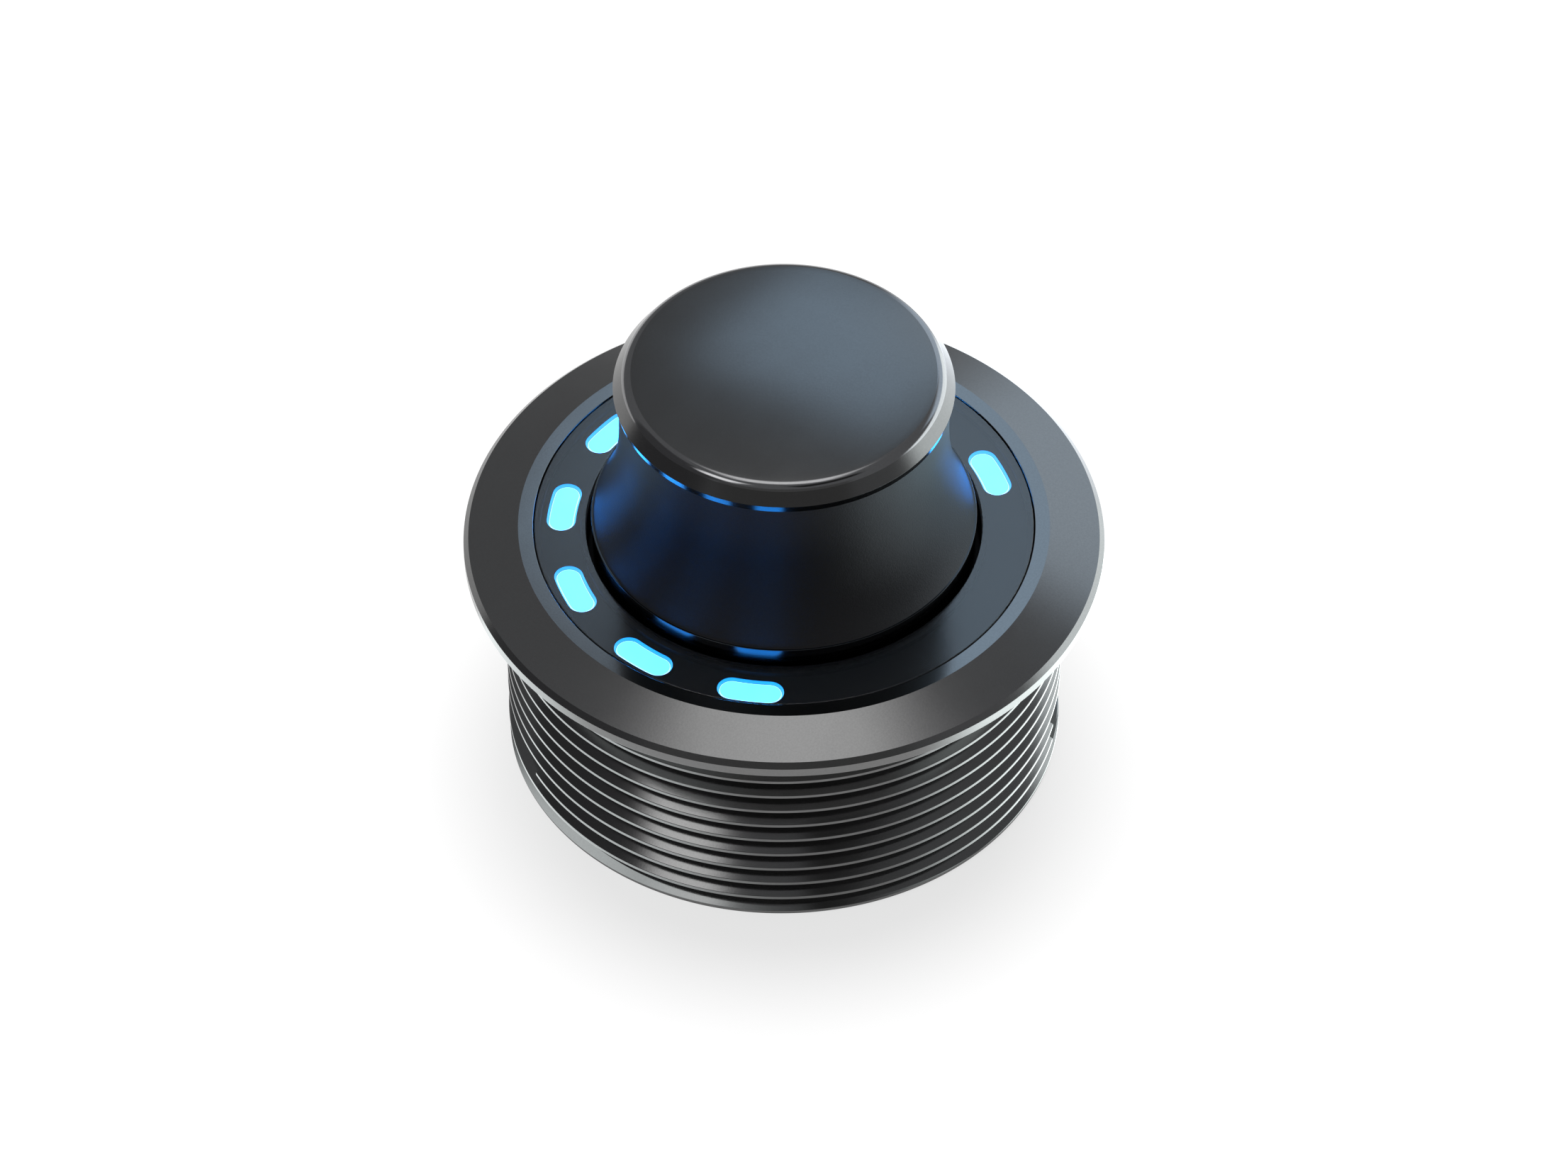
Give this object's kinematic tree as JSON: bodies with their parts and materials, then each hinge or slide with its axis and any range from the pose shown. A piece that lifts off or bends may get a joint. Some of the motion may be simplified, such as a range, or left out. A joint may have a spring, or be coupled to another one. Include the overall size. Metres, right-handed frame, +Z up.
{
  "type": "rotary audio controller",
  "caption": "Round panel-mount controller: coned flange on a threaded barrel, flush smoked dial lens over a ring of lit slots, and a flared knob that turns endlessly and pushes to click.",
  "frame": {"origin": "centre of the barrel's bottom face, where the controller stands", "axes": "+Z up along the knob's axis; -Y towards the middle of the dial's unlit gap"},
  "size_m": [0.0456, 0.0456, 0.035],
  "materials": {
    "flange_metal": "dark grey satin anodised",
    "barrel_metal": "black anodised, semi-gloss, bright worn crests",
    "knob_metal": "dark grey satin anodised",
    "dial_black": "fine satin grain",
    "lens_smoke": "smoked clear, fine satin face",
    "lit_guide": "diffusing, lit from below",
    "cover_black": "moulded",
    "board_green": "solder mask",
    "lamp_white": "moulded",
    "chip_black": "moulded",
    "passive_tan": "ceramic",
    "plastic_grey": "moulded",
    "plastic_ivory": "moulded",
    "steel": "plain",
    "brass": "turned"
  },
  "bodies": {
    "housing": {"flange_bezel": "flange_metal", "threaded_barrel": "barrel_metal", "dial_plate": "dial_black", "dial_lens": "lens_smoke", "light_guide": "lit_guide", "rear_cover": "cover_black", "led_board": "board_green", "led_chips": "lamp_white", "main_board": "board_green", "board_link": "plastic_grey", "controller_chip": "chip_black", "board_passives": "passive_tan", "board_standoffs": "brass", "board_screws": "steel", "remote_jack": "plastic_grey", "encoder_cup": "cover_black", "encoder_frame": "steel", "encoder_bushing": "brass", "encoder_washer": "steel", "encoder_nut": "steel", "encoder_terminals": "steel", "detent_spring": "steel", "switch_dome": "steel"},
    "rotor": {"encoder_rotor": "plastic_ivory"},
    "knob": {"encoder_shaft": "steel", "shaft_clip": "steel", "knob_insert": "plastic_grey", "hub_clip": "steel", "knob_shell": "knob_metal"}
  },
  "joints": [
    {"name": "knob_turn", "type": "hinge", "parent": "housing", "child": "rotor", "pos_m": [0, 0, 0.0124], "axis": [0, 0, 1], "continuous": true, "deforming": ["detent_spring"]},
    {"name": "knob_press", "type": "slide", "parent": "rotor", "child": "knob", "axis": [0, 0, -1], "range_m": [0, 0.0005], "stiffness_N_per_m": 3000, "springref_m": -0.0005, "deforming": ["switch_dome"]}
  ]
}
